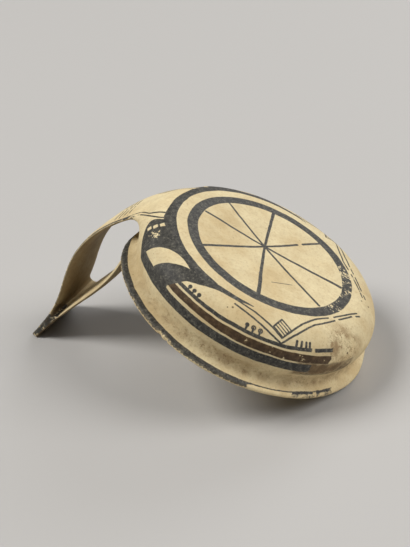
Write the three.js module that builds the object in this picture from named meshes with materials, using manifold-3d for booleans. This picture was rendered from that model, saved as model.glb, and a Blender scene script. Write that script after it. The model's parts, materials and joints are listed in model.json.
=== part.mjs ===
// A hand-built clay dipper cup with a high double-strap handle, lying mouth down.
// It rests on the lowest point of its rim and on the tongue at the top of its handle.
// Lengths are in millimetres and angles in degrees. World +Z is up.
// The cup is shaped in its own frame first: z = 0 is the plane of the mouth, +Z points
// to the foot, the turning axis is x = y = 0 and the handle stands on the -X side.
import * as THREE from 'three';
import { mergeVertices } from 'three/addons/utils/BufferGeometryUtils.js';
import Module from 'manifold-3d';

const wasm = await Module();
wasm.setup();

// Bowl
const LIP_RADIUS = 69;
const LIP_THICKNESS = 3;
const BOWL_HEIGHT = 28.7;
const BULGE_RADIUS = 64.5;
const BULGE_HEIGHT = 15;
const NECK_RADIUS = 62.2;
const NECK_HEIGHT = 5.2;
const FOOT_RADIUS = 49;
const WALL = 4.2;
const FLOOR = 4.6;
const DISH_RADIUS = 40;
const DISH_DEPTH = 1.6;

// The lip is pressed in where the handle stands on it
const LIP_PINCH = 3.6;
const PINCH_SPREAD = 15;

// Handle: an outer strap from the shoulder and an inner strap from the rim, leaning
// together into a tongue at the top
const HANDLE_RISE = 90;
const HANDLE_REACH = 20.5;
const TONGUE_LEAN = 6;
const ROOT_RADIUS = 54;
const ROOT_SLOPE = 33;
const RETURN_INSET = 6.2;
const STRAP_THICKNESS = 3.4;
const TIP_THICKNESS = 2.2;
const TONGUE_THICKNESS = 4.6;
const STRAP_WIDTH = 39;
const ROOT_FLARE = 14;
const DROOP_NEAR = 6.5;
const DROOP_FAR = 1;
const FLARE_PLACE = 8;
const FLARE_LENGTH = 6;
const BURIED_NARROWING = 0.35;
const BURIED_LENGTH = 3;
const TIP_WIDTH = 41;

// The V between the straps is filled with clay, deeper on the far side
const WEB_TOP_NEAR = 21;
const WEB_TOP_FAR = 30;
const WEB_HOLLOW = 2;
const WEB_WIDTH = 38.6;
const WEB_COVER = 0.8;
const WEB_END = 0.7;

// Where the handles of the curves stand. In the bowl's profile they are shares of a
// curve's own run or height; in the handle's lines they are shares of HANDLE_RISE below
// the mouth, unless their name says run.
const DISH_INNER_RUN = 0.5;
const DISH_OUTER_RUN = 0.8;
const WALL_TOP_FALL = 0.55;
const WALL_FOOT_RISE = 0.22;
const FLARE_TOP_RISE = 0.3;
const FLARE_FOOT_RUN = 0.4;
const ROOT_DEPTH = 0.58;
const ROOT_RUN = 1 / 6;
const WIDEST_DROP = 0.38;
const ABOVE_WIDEST = 0.353;
const BELOW_WIDEST = 0.208;
const TONGUE_BEND_DROP = 0.661;
const TONGUE_BEND_RUN = 0.6;
const RETURN_ROOT_DROP = 0.396;
const RETURN_BEND_DROP = 0.473;
const RETURN_BEND_RUN = 0.467;

// Depth of the worn flats where the cup touches the ground, and the number of times that
// the cup is turned to find its rest
const WEAR = 0.35;
const SETTLE_TURNS = 4;

// Fineness of the faceted surface, and the smallest step that a join leaves
const JOIN_TOLERANCE = 0.03;
const BOWL_SEGMENTS = 80;
const CURVE_STEPS = 5;
const LIP_STEPS = 4;
const STRAP_STEPS = 30;
const STRAP_CORNERS = 16;

const rad = THREE.MathUtils.degToRad;
const point = (x, z) => new THREE.Vector2(x, z);

// The outside of the bowl from the centre of the foot to the top of the lip, each
// point with the thickness of clay behind it
function outerProfile() {
  const rows = [];
  const addCurve = (curve, depth0, depth1) => {
    curve.getPoints(CURVE_STEPS).forEach((p, i) => {
      const depth = depth0 + ((depth1 - depth0) * i) / CURVE_STEPS;
      if (i > 0 || rows.length === 0) rows.push({ p, depth });
    });
  };

  // The foot is dished, with a flat ring round the hollow
  const dish = new THREE.CubicBezierCurve(
    point(0, BOWL_HEIGHT - DISH_DEPTH),
    point(DISH_RADIUS * DISH_INNER_RUN, BOWL_HEIGHT - DISH_DEPTH),
    point(DISH_RADIUS * DISH_OUTER_RUN, BOWL_HEIGHT),
    point(DISH_RADIUS, BOWL_HEIGHT),
  );
  addCurve(dish, FLOOR, FLOOR);
  rows.push({ p: point(FOOT_RADIUS, BOWL_HEIGHT), depth: FLOOR });

  // The shoulder is a quarter of an ellipse down to the bulge
  for (let i = 1; i <= CURVE_STEPS; i++) {
    const a = (Math.PI / 2) * (i / CURVE_STEPS);
    const r = FOOT_RADIUS + (BULGE_RADIUS - FOOT_RADIUS) * Math.sin(a);
    const z = BULGE_HEIGHT + (BOWL_HEIGHT - BULGE_HEIGHT) * Math.cos(a);
    rows.push({ p: point(r, z), depth: FLOOR + ((WALL - FLOOR) * i) / CURVE_STEPS });
  }

  const wallFall = BULGE_HEIGHT - NECK_HEIGHT;
  const wall = new THREE.CubicBezierCurve(
    point(BULGE_RADIUS, BULGE_HEIGHT),
    point(BULGE_RADIUS, BULGE_HEIGHT - wallFall * WALL_TOP_FALL),
    point(NECK_RADIUS, NECK_HEIGHT + wallFall * WALL_FOOT_RISE),
    point(NECK_RADIUS, NECK_HEIGHT),
  );
  addCurve(wall, WALL, WALL);

  const edge = LIP_THICKNESS / 2;
  const flareRun = LIP_RADIUS - edge - NECK_RADIUS;
  const flare = new THREE.CubicBezierCurve(
    point(NECK_RADIUS, NECK_HEIGHT),
    point(NECK_RADIUS, edge + (NECK_HEIGHT - edge) * FLARE_TOP_RISE),
    point(NECK_RADIUS + flareRun * FLARE_FOOT_RUN, edge),
    point(LIP_RADIUS - edge, edge),
  );
  addCurve(flare, WALL, LIP_THICKNESS);
  return rows;
}

// The closed outline that turns into the bowl's wall
function bowlOutline() {
  const rows = outerProfile();
  const outside = rows.map((row) => row.p);
  const last = outside.length - 1;
  const inside = rows.map(({ p, depth }, i) => {
    const along = outside[Math.min(i + 1, last)].clone().sub(outside[Math.max(i - 1, 0)]).normalize();
    return point(Math.max(p.x + along.y * depth, 0), p.y - along.x * depth);
  });
  inside[0].x = 0;
  const edge = LIP_THICKNESS / 2;
  const round = [];
  for (let i = 1; i <= LIP_STEPS; i++) {
    const a = rad(90 - (180 * i) / LIP_STEPS);
    round.push(point(LIP_RADIUS - edge + edge * Math.cos(a), edge * Math.sin(a)));
  }
  return [...outside, ...round, ...inside.slice(0, last).reverse()];
}

// Turn a three.js geometry into a solid for joining and cutting
function solidFrom(geometry) {
  const bare = geometry.clone();
  bare.deleteAttribute('normal');
  bare.deleteAttribute('uv');
  const merged = mergeVertices(bare, 1e-4);
  const index = merged.index.array;
  const triangles = [];
  for (let i = 0; i < index.length; i += 3) {
    const [a, b, c] = [index[i], index[i + 1], index[i + 2]];
    if (a !== b && b !== c && c !== a) triangles.push(a, b, c);
  }
  return new wasm.Manifold(
    new wasm.Mesh({
      numProp: 3,
      vertProperties: new Float32Array(merged.attributes.position.array),
      triVerts: new Uint32Array(triangles),
    }),
  );
}

function geometryFrom(solid) {
  const mesh = solid.getMesh();
  const geometry = new THREE.BufferGeometry();
  geometry.setAttribute('position', new THREE.BufferAttribute(new Float32Array(mesh.vertProperties), 3));
  geometry.setIndex(new THREE.BufferAttribute(new Uint32Array(mesh.triVerts), 1));
  return geometry;
}

// How far a point at this height is pressed in: nothing above the neck, all at the rim
function pressedIn(x, y, z) {
  const fromHandle = THREE.MathUtils.radToDeg(Math.atan2(y, -x)) / PINCH_SPREAD;
  const low = THREE.MathUtils.smoothstep(NECK_HEIGHT - z, 0, NECK_HEIGHT);
  return LIP_PINCH * low * Math.exp(-fromHandle * fromHandle);
}

function makeBowl() {
  const outline = bowlOutline();
  const turned = new THREE.LatheGeometry(outline.reverse(), BOWL_SEGMENTS);
  turned.rotateX(Math.PI / 2);
  const place = turned.attributes.position;
  for (let i = 0; i < place.count; i++) {
    const [x, y, z] = [place.getX(i), place.getY(i), place.getZ(i)];
    const r = Math.hypot(x, y);
    if (r < 1) continue;
    const scale = (r - pressedIn(x, y, z)) / r;
    place.setXY(i, x * scale, y * scale);
  }
  return solidFrom(turned);
}

// The middle line of the outer strap, from inside the shoulder to the tip
function outerLine() {
  const reachX = -(LIP_RADIUS + HANDLE_REACH);
  const root = point(-ROOT_RADIUS, BOWL_HEIGHT - FLOOR * ROOT_DEPTH);
  const slope = rad(ROOT_SLOPE);
  const start = ROOT_RADIUS * ROOT_RUN;
  const widest = point(reachX, -WIDEST_DROP * HANDLE_RISE);
  const tip = point(reachX - TONGUE_LEAN, -HANDLE_RISE);
  const line = new THREE.CurvePath();
  line.add(
    new THREE.CubicBezierCurve(
      root,
      point(root.x - start * Math.cos(slope), root.y - start * Math.sin(slope)),
      point(reachX, widest.y + ABOVE_WIDEST * HANDLE_RISE),
      widest,
    ),
  );
  line.add(
    new THREE.CubicBezierCurve(
      widest,
      point(reachX, widest.y - BELOW_WIDEST * HANDLE_RISE),
      point(reachX + TONGUE_LEAN * TONGUE_BEND_RUN, -TONGUE_BEND_DROP * HANDLE_RISE),
      tip,
    ),
  );
  return line;
}

// The middle line of the inner strap, from inside the lip to the tip
function innerLine() {
  const rootX = -(LIP_RADIUS - RETURN_INSET);
  const tipX = -(LIP_RADIUS + HANDLE_REACH + TONGUE_LEAN) + TONGUE_THICKNESS - TIP_THICKNESS;
  const line = new THREE.CurvePath();
  line.add(
    new THREE.CubicBezierCurve(
      point(rootX, LIP_THICKNESS / 2),
      point(rootX, -RETURN_ROOT_DROP * HANDLE_RISE),
      point(rootX + (tipX - rootX) * RETURN_BEND_RUN, -RETURN_BEND_DROP * HANDLE_RISE),
      point(tipX, -HANDLE_RISE),
    ),
  );
  return line;
}

// How far down the handle a height is: 0 at the rim's plane, 1 at the tip
function downHandle(z) {
  return THREE.MathUtils.clamp(-z / HANDLE_RISE, 0, 1);
}

// Strap width at height z, a little wider at the tongue
function strapWidth(z) {
  return STRAP_WIDTH + (TIP_WIDTH - STRAP_WIDTH) * THREE.MathUtils.smoothstep(downHandle(z), 0.45, 1);
}

function strapThickness(z) {
  const thinning = THREE.MathUtils.smoothstep(downHandle(z), 0.5, 1);
  return STRAP_THICKNESS + (TIP_THICKNESS - STRAP_THICKNESS) * thinning;
}

// A strap swept along a line in the XZ plane, with a section that thins to its edges.
// At a flared root the strap widens and its edges bend down round the shoulder.
function makeStrap(line, flared) {
  const length = line.getLength();
  const positions = [];
  const index = [];
  for (let i = 0; i <= STRAP_STEPS; i++) {
    const centre = line.getPointAt(i / STRAP_STEPS);
    const along = line.getTangentAt(i / STRAP_STEPS);
    const fromRoot = (length * i) / STRAP_STEPS;
    const flare = flared ? Math.exp(-(((fromRoot - FLARE_PLACE) / FLARE_LENGTH) ** 2)) : 0;
    const narrowing = flared ? BURIED_NARROWING * Math.exp(-((fromRoot / BURIED_LENGTH) ** 2)) : 0;
    const halfWidth = ((strapWidth(centre.y) + ROOT_FLARE * flare) * (1 - narrowing)) / 2;
    const halfThickness = strapThickness(centre.y) / 2;
    for (let j = 0; j < STRAP_CORNERS; j++) {
      const a = (2 * Math.PI * j) / STRAP_CORNERS;
      const across = Math.sign(Math.cos(a)) * Math.abs(Math.cos(a)) ** 0.5;
      const bulge = Math.sign(Math.sin(a)) * Math.abs(Math.sin(a)) ** 0.9 * halfThickness;
      const droop = across < 0 ? DROOP_NEAR : DROOP_FAR;
      const out = bulge + droop * flare * across * across;
      positions.push(centre.x - along.y * out, across * halfWidth, centre.y + along.x * out);
    }
  }
  const ring = (i, j) => i * STRAP_CORNERS + (j % STRAP_CORNERS);
  for (let i = 0; i < STRAP_STEPS; i++) {
    for (let j = 0; j < STRAP_CORNERS; j++) {
      index.push(ring(i, j), ring(i, j + 1), ring(i + 1, j));
      index.push(ring(i, j + 1), ring(i + 1, j + 1), ring(i + 1, j));
    }
  }
  for (let j = 1; j < STRAP_CORNERS - 1; j++) {
    index.push(ring(0, 0), ring(0, j + 1), ring(0, j));
    index.push(ring(STRAP_STEPS, 0), ring(STRAP_STEPS, j), ring(STRAP_STEPS, j + 1));
  }
  const strap = new THREE.BufferGeometry();
  strap.setAttribute('position', new THREE.Float32BufferAttribute(positions, 3));
  strap.setIndex(index);
  return solidFrom(strap);
}

// The point where a line passes a height
function pointAtHeight(line, z) {
  let low = 0;
  let high = 1;
  for (let i = 0; i < 24; i++) {
    const middle = (low + high) / 2;
    if (line.getPoint(middle).y > z) low = middle;
    else high = middle;
  }
  return line.getPoint(low);
}

// The clay that closes the V between the straps, its top slanting from near to far
function makeWeb(outer, inner) {
  const rows = 5;
  const section = (top) => {
    const heights = Array.from({ length: rows }, (_, i) => (top * i) / (rows - 1) - HANDLE_RISE);
    const right = heights.map((z) => pointAtHeight(inner, z).add(point(WEB_COVER, 0)));
    const left = heights.map((z) => pointAtHeight(outer, z).add(point(-WEB_COVER, 0))).reverse();
    right[0].y -= WEB_END;
    left[rows - 1].y -= WEB_END;
    const sag = right[rows - 1].clone().add(left[0]).multiplyScalar(0.5);
    sag.y -= WEB_HOLLOW;
    return [...right, sag, ...left];
  };
  const near = section(WEB_TOP_NEAR);
  const far = section(WEB_TOP_FAR);
  const count = near.length;
  const positions = [];
  near.forEach((p) => positions.push(p.x, -WEB_WIDTH / 2, p.y));
  far.forEach((p) => positions.push(p.x, WEB_WIDTH / 2, p.y));
  const index = [];
  for (let i = 0; i < count; i++) {
    const next = (i + 1) % count;
    index.push(i, i + count, next, next, i + count, next + count);
  }
  THREE.ShapeUtils.triangulateShape(near, []).forEach(([a, b, c]) => index.push(a, b, c));
  THREE.ShapeUtils.triangulateShape(far, []).forEach(([a, b, c]) => {
    index.push(c + count, b + count, a + count);
  });
  const web = new THREE.BufferGeometry();
  web.setAttribute('position', new THREE.Float32BufferAttribute(positions, 3));
  web.setIndex(index);
  return solidFrom(web);
}

// The lowest point of a geometry on the +X side (1) or on the -X side (-1)
function lowestOn(side, geometry) {
  const place = geometry.attributes.position;
  const lowest = point(0, Infinity);
  for (let i = 0; i < place.count; i++) {
    if (place.getX(i) * side > 0 && place.getZ(i) < lowest.y) lowest.set(place.getX(i), place.getZ(i));
  }
  return lowest;
}

// Lay the cup down so that the rim's far point and the tongue's end are level, take the
// worn flats off its two resting places and centre it over the origin
function layDown(cup) {
  const geometry = geometryFrom(cup);
  geometry.rotateY(Math.atan2(HANDLE_RISE, 2 * LIP_RADIUS + HANDLE_REACH));
  for (let i = 0; i < SETTLE_TURNS; i++) {
    const step = lowestOn(1, geometry).sub(lowestOn(-1, geometry));
    geometry.rotateY(Math.atan2(step.y, step.x));
  }
  geometry.computeBoundingBox();
  const box = geometry.boundingBox;
  const middle = box.getCenter(new THREE.Vector3());
  geometry.translate(-middle.x, 0, -box.min.z - WEAR);
  const size = 4 * LIP_RADIUS;
  const ground = new THREE.BoxGeometry(2 * size, size, size);
  ground.translate(0, 0, -size / 2);
  return solidFrom(geometry).subtract(solidFrom(ground));
}

const outer = outerLine();
const inner = innerLine();
const parts = [makeBowl(), makeStrap(outer, true), makeStrap(inner, false), makeWeb(outer, inner)];
const cup = parts.reduce((whole, part) => whole.add(part)).simplify(JOIN_TOLERANCE);

const clay = new THREE.MeshStandardMaterial({ color: 0xd9c48f, roughness: 0.75, metalness: 0 });
const kyathos = new THREE.Mesh(geometryFrom(layDown(cup)), clay);
kyathos.name = 'cup_and_handle';

const model = new THREE.Group();
model.add(kyathos);
export default model;
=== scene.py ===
# A hand-built clay dipper cup with a double-strap handle, painted in black and brown on
# buff clay, lying mouth down on its rim and on the tongue of its handle.
# Sizes of the cup are named in millimetres. The cup's own frame starts in the middle of
# its mouth, with +z to the foot and the handle at -x. The side at -y faces the camera.
import json
import math

import bmesh
import bpy
import numpy as np
from mathutils import Matrix, Vector, noise


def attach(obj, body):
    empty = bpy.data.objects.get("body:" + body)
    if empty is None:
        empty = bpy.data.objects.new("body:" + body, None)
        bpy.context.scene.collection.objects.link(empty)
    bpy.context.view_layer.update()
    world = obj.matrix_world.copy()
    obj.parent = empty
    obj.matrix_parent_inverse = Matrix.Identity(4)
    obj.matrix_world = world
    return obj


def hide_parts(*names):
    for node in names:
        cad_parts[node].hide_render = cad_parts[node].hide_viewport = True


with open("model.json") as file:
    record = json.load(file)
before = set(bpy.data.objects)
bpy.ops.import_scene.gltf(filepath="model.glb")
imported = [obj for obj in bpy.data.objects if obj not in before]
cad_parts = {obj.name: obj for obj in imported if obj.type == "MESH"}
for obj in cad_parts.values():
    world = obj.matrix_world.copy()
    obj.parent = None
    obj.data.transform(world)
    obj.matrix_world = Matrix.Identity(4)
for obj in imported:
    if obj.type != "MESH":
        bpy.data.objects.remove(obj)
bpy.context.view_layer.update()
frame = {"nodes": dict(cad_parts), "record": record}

MM = 0.001

# The bowl's outside, from the foot to the lip
LIP_RADIUS = 69
LIP_THICKNESS = 3
BOWL_HEIGHT = 28.7
BULGE_RADIUS = 64.5
BULGE_HEIGHT = 15
NECK_RADIUS = 62.2
NECK_HEIGHT = 5.2
FOOT_RADIUS = 49
DISH_RADIUS = 40
DISH_DEPTH = 1.6

# The middle line of the handle's outer strap
HANDLE_RISE = 90
HANDLE_REACH = 20.5
TONGUE_LEAN = 6
ROOT_RADIUS = 54
ROOT_HEIGHT = 26
ROOT_SLOPE = 33
STRAP_HALF_WIDTH = 19.5

# Where the curves bend. Along the bowl these are shares of a curve's own run or height;
# along the strap they are shares of the root's radius, the handle's rise and the lean
DISH_INNER_RUN = 0.5
DISH_OUTER_RUN = 0.8
WALL_TOP_FALL = 0.55
WALL_FOOT_RISE = 0.22
FLARE_TOP_RISE = 0.3
FLARE_FOOT_RUN = 0.4
ROOT_RUN = 1 / 6
WIDEST_DROP = 0.38
ABOVE_WIDEST = 0.353
BELOW_WIDEST = 0.208
TONGUE_BEND_DROP = 0.661
TONGUE_BEND_RUN = 0.6

# The fine surface. A step is the share of the way that a vertex moves to the middle of
# its neighbours in one round.
VOXEL = 0.95
FIRST_STEP = 0.5
FIRST_ROUNDS = 2
SMOOTH_STEP = 0.6
SMOOTH_ROUNDS = 20
ROOT_ROUNDS = 70
EDGE_KEPT = 0.14

# The straps' sides: where they start out from the middle, the tongue's top below the
# mouth, and how far off the outer strap's middle line the return strap begins
SIDE_START = 14
TONGUE_TOP = -74
STRAP_SPLIT = 2.6
STRAP_SIDE_WEIGHT = 0.45
SIDE_EVENING = 7

# The unevenness from the hand and from a smoothing tool
HAND_WAVE = 0.28
HAND_WAVE_LENGTH = 26
HAND_WAVE_SINK = 0.12
HAND_SEED = 1
TOOL_WAVE = 0.07
TOOL_WAVE_LENGTH = 6
TOOL_SEED = 2

# Chips along the lip: where they are round the bowl and how far they reach, in degrees
LIP_CHIPS = ((-108.4, 1.2), (-105.0, 0.5), (-127.0, 0.3), (64.0, 0.9), (118.0, 0.7))
CHIP_DEPTH = 0.6
CHIP_RAGGEDNESS = 0.5
CHIP_SEED = 3

# The camera, in metres and degrees; azimuth 0 looks along +Y
CAMERA_PLACE = (0.1303, -0.2841, 0.1904)
CAMERA_AZIMUTH = -23.16
CAMERA_ELEVATION = 25.50
CAMERA_ROLL = 4.70
SENSOR_HEIGHT = 24
FOCAL_LENGTH = 28.52

# Each lamp: its side, its spread in degrees, its strength and its colour
LAMPS = {
    "left_box": ((-0.58, -0.24, 0.78), 30, 2.35, (1.0, 0.98, 0.95)),
    "right_box": ((0.74, 0.10, 0.66), 35, 1.64, (1.0, 0.98, 0.96)),
    "back_sheen": ((0.18, 0.83, 0.53), 30, 0.68, (0.97, 0.98, 1.0)),
}
WORLD_COLOUR = (0.86, 0.87, 0.89, 1)
WORLD_STRENGTH = 0.10
FLOOR_COLOUR = (0.51, 0.50, 0.485, 1)
FLOOR_HALF = 25

# The clay, the slip paint and the painted shade; a pair holds a paint's thick and thin places
PALE_CLAY = (0.82, 0.70, 0.43, 1)
WARM_CLAY = (0.70, 0.55, 0.30, 1)
GRAINY_CLAY = (0.60, 0.44, 0.22, 1)
# Dirt and pores, and also the painted shade that comes in with the dirt
DUST_AND_SHADE_CLAY = (0.34, 0.22, 0.105, 1)
# Painted shade in the creases and hollows of the surface
CREASE_SHADE_CLAY = (0.16, 0.10, 0.05, 1)
# Painted shade inside the handle, where the straps face away from the light, given as a browner clay
LOOP_SHADE_CLAY = (0.17, 0.11, 0.045, 1)
# The wide band's worn remains with the bulge's painted shadow on the neck below it
SMUDGE_AND_SHADE_CLAY = (0.085, 0.052, 0.024, 1)
PIT_CLAY = (0.05, 0.03, 0.018, 1)
BLACK_PAINT = ((0.030, 0.029, 0.026, 1), (0.088, 0.083, 0.070, 1))
BROWN_PAINT = ((0.050, 0.028, 0.013, 1), (0.125, 0.078, 0.037, 1))
PALE_DUST = (0.24, 0.225, 0.175, 1)


def add_camera():
    azimuth = math.radians(CAMERA_AZIMUTH)
    elevation = math.radians(CAMERA_ELEVATION)
    level = math.cos(elevation)
    look = Vector((math.sin(azimuth) * level, math.cos(azimuth) * level, -math.sin(elevation)))
    turn = Matrix.Rotation(math.radians(CAMERA_ROLL), 4, look)
    data = bpy.data.cameras.new("camera")
    data.sensor_fit = "VERTICAL"
    data.sensor_height = SENSOR_HEIGHT
    data.lens = FOCAL_LENGTH
    data.clip_start = 0.01
    camera = bpy.data.objects.new("camera", data)
    camera.matrix_world = (
        Matrix.Translation(CAMERA_PLACE) @ turn @ look.to_track_quat("-Z", "Y").to_matrix().to_4x4()
    )
    bpy.context.scene.collection.objects.link(camera)
    bpy.context.scene.camera = camera


def add_lamp(name, place, spread, strength, colour):
    """Soft, even light from the side of the origin where the place is"""
    data = bpy.data.lights.new(name, "SUN")
    data.angle = math.radians(spread)
    data.energy = strength
    data.color = colour
    lamp = bpy.data.objects.new(name, data)
    lamp.location = place
    lamp.rotation_euler = Vector(place).to_track_quat("Z", "Y").to_euler()
    bpy.context.scene.collection.objects.link(lamp)


class Sketch:
    """Adds nodes to a tree. An input is a plain value or the socket of another node."""

    def __init__(self, tree):
        self.tree = tree

    def feed(self, socket, value):
        if isinstance(value, bpy.types.NodeSocket):
            self.tree.links.new(value, socket)
        else:
            socket.default_value = value

    def add(self, kind, inputs=None, **settings):
        node = self.tree.nodes.new(kind)
        for name, value in settings.items():
            setattr(node, name, value)
        for name, value in (inputs or {}).items():
            self.feed(node.inputs[name], value)
        return node

    def math(self, operation, *values):
        node = self.add("ShaderNodeMath", operation=operation)
        for socket, value in zip(node.inputs, values):
            self.feed(socket, value)
        return node.outputs[0]

    def vector(self, operation, *values):
        node = self.add("ShaderNodeVectorMath", operation=operation)
        for socket, value in zip(node.inputs, values):
            self.feed(socket, value)
        return node.outputs["Value" if operation in ("DOT_PRODUCT", "LENGTH") else "Vector"]

    def scaled(self, vector, factor):
        node = self.add("ShaderNodeVectorMath", operation="SCALE")
        self.feed(node.inputs[0], vector)
        self.feed(node.inputs["Scale"], factor)
        return node.outputs[0]

    def hump(self, value, middle, spread):
        """1 at the middle, falling off smoothly to both sides"""
        offset = self.math("DIVIDE", self.math("SUBTRACT", value, middle), spread)
        return self.math("EXPONENT", self.opposite(self.math("MULTIPLY", offset, offset)))

    def group(self, tree, **inputs):
        node = self.add("ShaderNodeGroup", node_tree=tree)
        for name, value in inputs.items():
            self.feed(node.inputs[name.replace("_", " ")], value)
        return node.outputs

    def mix(self, kind, numbers, values):
        """A mix node; the numbers say which of its sockets this kind uses"""
        node = self.add("ShaderNodeMix", data_type=kind)
        for number, value in zip(numbers, values):
            self.feed(node.inputs[number], value)
        return node

    def mixed(self, share, first, second):
        return self.mix("RGBA", (0, 6, 7), (share, first, second)).outputs[2]

    def mixed_value(self, share, first, second):
        return self.mix("FLOAT", (0, 2, 3), (share, first, second)).outputs[0]

    def ramp(self, value, low, high, start=0.0, end=1.0):
        """start below low, end above high, and a smooth step between them"""
        inputs = {"Value": value, "From Min": low, "From Max": high, "To Min": start, "To Max": end}
        return self.add("ShaderNodeMapRange", inputs, interpolation_type="SMOOTHSTEP").outputs[0]

    def noise(self, vector, scale, detail=2.0, roughness=0.5, output="Fac"):
        inputs = {"Vector": vector, "Scale": scale, "Detail": detail, "Roughness": roughness}
        return self.add("ShaderNodeTexNoise", inputs).outputs[output]

    def opposite(self, value):
        return self.math("MULTIPLY", value, -1.0)

    def line(self, offset, half):
        """How far a value lies outside a line, from its offset to the line's middle"""
        return self.math("SUBTRACT", self.math("ABSOLUTE", offset), half)

    def joined(self, operation, values):
        result = values[0]
        for value in values[1:]:
            result = self.math(operation, result, value)
        return result

    def least(self, *values):
        return self.joined("MINIMUM", values)

    def most(self, *values):
        return self.joined("MAXIMUM", values)

    def product(self, *values):
        return self.joined("MULTIPLY", values)


def new_group(name, inputs, outputs):
    """A shader node group: returns its tree, a Sketch on it, its inputs and its output node"""
    kinds = {"value": "NodeSocketFloat", "vector": "NodeSocketVector", "colour": "NodeSocketColor"}
    tree = bpy.data.node_groups.new(name, "ShaderNodeTree")
    for side, sockets in (("INPUT", inputs), ("OUTPUT", outputs)):
        for socket, kind in sockets.items():
            tree.interface.new_socket(socket, in_out=side, socket_type=kinds[kind])
    return tree, Sketch(tree), tree.nodes.new("NodeGroupInput").outputs, tree.nodes.new("NodeGroupOutput")


def make_stroke_group():
    """How far a point lies outside a brush stroke, in millimetres: negative is inside it"""
    tree, s, given, out = new_group(
        "brush stroke",
        {"Chart": "vector", "From": "vector", "To": "vector", "Start": "value", "End": "value"},
        {"Distance": "value"},
    )
    away = s.vector("SUBTRACT", given["Chart"], given["From"])
    run = s.vector("SUBTRACT", given["To"], given["From"])
    share = s.math("DIVIDE", s.vector("DOT_PRODUCT", away, run), s.vector("DOT_PRODUCT", run, run))
    share = s.least(s.most(share, 0.0), 1.0)
    reach = s.vector("LENGTH", s.vector("SUBTRACT", away, s.scaled(run, share)))
    change = s.math("SUBTRACT", given["End"], given["Start"])
    half_width = s.math("MULTIPLY_ADD", change, share, given["Start"])
    s.feed(out.inputs["Distance"], s.math("SUBTRACT", reach, half_width))
    return tree


def make_disc_group():
    """How far a point lies outside a round area, in millimetres"""
    tree, s, given, out = new_group(
        "round area", {"Chart": "vector", "Centre": "vector", "Radius": "value"}, {"Distance": "value"}
    )
    reach = s.vector("LENGTH", s.vector("SUBTRACT", given["Chart"], given["Centre"]))
    s.feed(out.inputs["Distance"], s.math("SUBTRACT", reach, given["Radius"]))
    return tree


def make_band_group():
    """How far a value lies outside a range"""
    tree, s, given, out = new_group(
        "band", {"Value": "value", "Low": "value", "High": "value"}, {"Distance": "value"}
    )
    under = s.math("SUBTRACT", given["Low"], given["Value"])
    over = s.math("SUBTRACT", given["Value"], given["High"])
    s.feed(out.inputs["Distance"], s.most(under, over))
    return tree


def make_tile_group():
    """How far a point lies outside a square whose side runs along an axis"""
    tree, s, given, out = new_group(
        "square tile",
        {"Chart": "vector", "Centre": "vector", "Axis": "vector", "Half": "value"},
        {"Distance": "value"},
    )
    away = s.vector("SUBTRACT", given["Chart"], given["Centre"])
    run = s.vector("DOT_PRODUCT", away, given["Axis"])
    rest = s.vector("LENGTH", s.vector("SUBTRACT", away, s.scaled(given["Axis"], run)))
    s.feed(out.inputs["Distance"], s.math("SUBTRACT", s.most(s.math("ABSOLUTE", run), rest), given["Half"]))
    return tree


STROKE = make_stroke_group()
DISC = make_disc_group()
BAND = make_band_group()
TILE = make_tile_group()


def chart_point(distance, bearing):
    """A place on the bowl: millimetres from the foot's centre, degrees round from +x"""
    turn = math.radians(bearing)
    return (distance * math.cos(turn), distance * math.sin(turn), 0)


# The painting, in millimetres from the centre of the foot along the surface, and degrees
# round from +x. A round area is its centre and its radius.
RING = (39.5, 45.0)
HUB = (-4.3, 3.7, 0)
SPOKE_HUB_HALF_WIDTH = 0.72
SPOKES = [
    ((38.5, 178.7), 0.80),
    ((38.5, 7.5), 1.05),
    ((40.0, 146.7), 0.62),
    ((38.5, -32.8), 0.75),
    ((39.5, 106.1), 0.95),
    ((40.0, -81.6), 1.00),
    ((39.5, -134.5), 0.80),
]
BROKEN_SPOKE = (39.5, 61.7)
BROKEN_HALF_WIDTH = 0.72
SPOKE_BREAK = (0.58, 0.68)
SCRATCH = ((7.9, -23.8, 0), (16.9, -16.4, 0), 0.22)

# The crescent, which ends at a bearing and is widest at another
CRESCENT = (50.5, 55.3)
CRESCENT_END = -146.0
CRESCENT_WIDEST = (-156.0, 8.0)
CRESCENT_WIDENING = 1.6

# The black panel, the round area that hollows it into a sweep, the straight line where
# it ends, the bare leaf and tiles in it, and the sweep's tail as (x, y, half width)
PANEL_TOP = -23.6
PANEL_SIDE = ((0, -31, 0), 60.2)
PANEL_CORNER = 7.0
PANEL_HOLLOW = ((-9.8, -80.3, 0), 28.2)
PANEL_END = (62.7, -114.3)
PANEL_END_FACING = (0.48, -0.88, 0)
LEAF_TOP = ((-41.9, -66.6, 0), 23.8)
LEAF_FOOT = ((-28.5, -84.0, 0), 34.7)
LEAF_REACH = 69.0
PALE_TILES = (((64.6, -151.6), 1.15), ((61.1, -151.0), 1.25), ((57.4, -150.6), 1.25))
TILE_AXIS = (0.82, 0.57, 0)
SWEEP_TAIL = [
    (-24.0, -54.2, 1.7),
    (-19.0, -52.2, 2.9),
    (-9.0, -51.1, 1.5),
    (-1.0, -51.3, 1.2),
    (6.8, -49.8, 0.25),
]

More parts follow.
